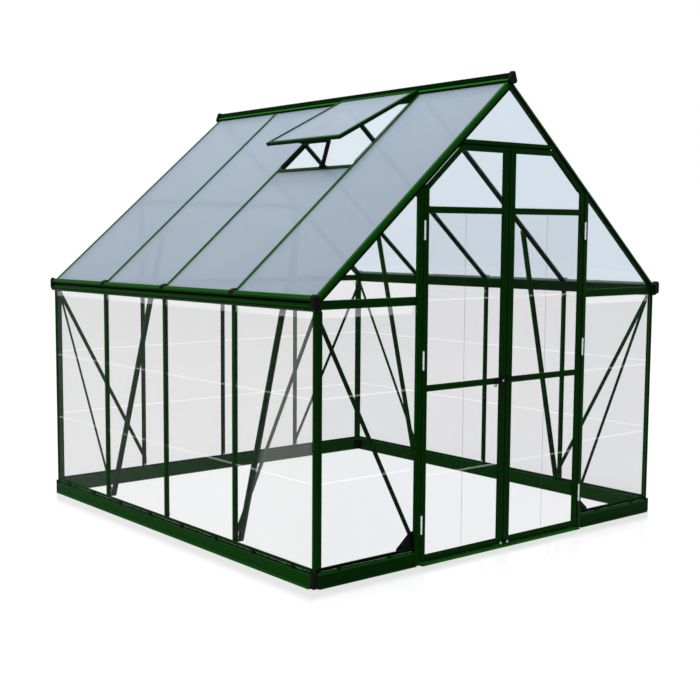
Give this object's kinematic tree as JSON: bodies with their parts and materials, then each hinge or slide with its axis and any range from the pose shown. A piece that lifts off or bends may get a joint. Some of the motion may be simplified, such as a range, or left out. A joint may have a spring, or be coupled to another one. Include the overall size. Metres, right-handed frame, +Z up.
{
  "type": "polycarbonate greenhouse",
  "caption": "Walk-in greenhouse with an extruded metal frame, clear wall sheets, twin-wall pitched roof, hinged double doors and an open roof vent.",
  "frame": {"origin": "centre of the base frame's footprint, on the ground", "axes": "+Z up; -Y out through the doors in the front gable; +X to the right for someone facing the doors from outside"},
  "size_m": [2.456, 2.486, 2.3104],
  "materials": {
    "frame_green": "dark green powder coat, satin",
    "door_green": "dark green powder coat, satin",
    "black_fitting": "moulded black plastic",
    "clear_sheet": "clear polycarbonate, glossy",
    "twin_wall_sheet": "translucent twin-wall polycarbonate, frosted",
    "hinge_grey": "plain extruded aluminium"
  },
  "bodies": {
    "house": {"base_side_rails": "frame_green", "base_back_rail": "frame_green", "base_front_rails": "frame_green", "door_threshold": "frame_green", "corner_posts": "frame_green", "side_wall_studs": "frame_green", "back_wall_studs": "frame_green", "door_posts": "frame_green", "door_header": "frame_green", "front_tie_bars": "frame_green", "back_tie_bars": "frame_green", "back_gable_collar": "frame_green", "left_gutter": "frame_green", "right_gutter": "frame_green", "ridge_beam": "frame_green", "front_gable_rafters": "frame_green", "back_gable_rafters": "frame_green", "left_rafters": "frame_green", "right_rafters": "frame_green", "side_wall_braces": "frame_green", "back_wall_braces": "frame_green", "front_wall_braces": "frame_green", "rafter_struts": "frame_green", "vent_sill": "frame_green", "vent_side_rails": "frame_green", "vent_cross_rails": "frame_green", "base_corner_blocks": "black_fitting", "gutter_end_caps": "black_fitting", "ridge_end_caps": "black_fitting", "rafter_foot_caps": "black_fitting", "door_post_gussets": "black_fitting", "vent_stay_plates": "black_fitting", "vent_stay_arms": "black_fitting", "left_wall_sheets": "clear_sheet", "right_wall_sheets": "clear_sheet", "back_wall_sheets": "clear_sheet", "front_wall_sheets": "clear_sheet", "front_gable_sheets": "clear_sheet", "back_gable_sheets": "clear_sheet", "left_roof_sheets": "twin_wall_sheet", "right_roof_sheets": "twin_wall_sheet", "vent_sheet": "twin_wall_sheet", "door_frame_hinges": "hinge_grey"},
    "left_door": {"left_door_keeper": "black_fitting", "left_door_sheets": "clear_sheet", "left_door_hinges": "hinge_grey", "left_door_stiles": "door_green", "left_door_rails": "door_green", "left_door_slope_rail": "door_green"},
    "right_door": {"right_door_latch": "black_fitting", "right_door_sheets": "clear_sheet", "right_door_hinges": "hinge_grey", "right_door_stiles": "door_green", "right_door_rails": "door_green", "right_door_slope_rail": "door_green"}
  },
  "joints": [
    {"name": "left_door_hinge", "type": "hinge", "parent": "house", "child": "left_door", "pos_m": [-0.57, -1.232, 0.8], "axis": [0, 0, -1], "range_deg": [0, 110]},
    {"name": "right_door_hinge", "type": "hinge", "parent": "house", "child": "right_door", "pos_m": [0.57, -1.232, 0.8], "axis": [0, 0, 1], "range_deg": [0, 110]}
  ]
}
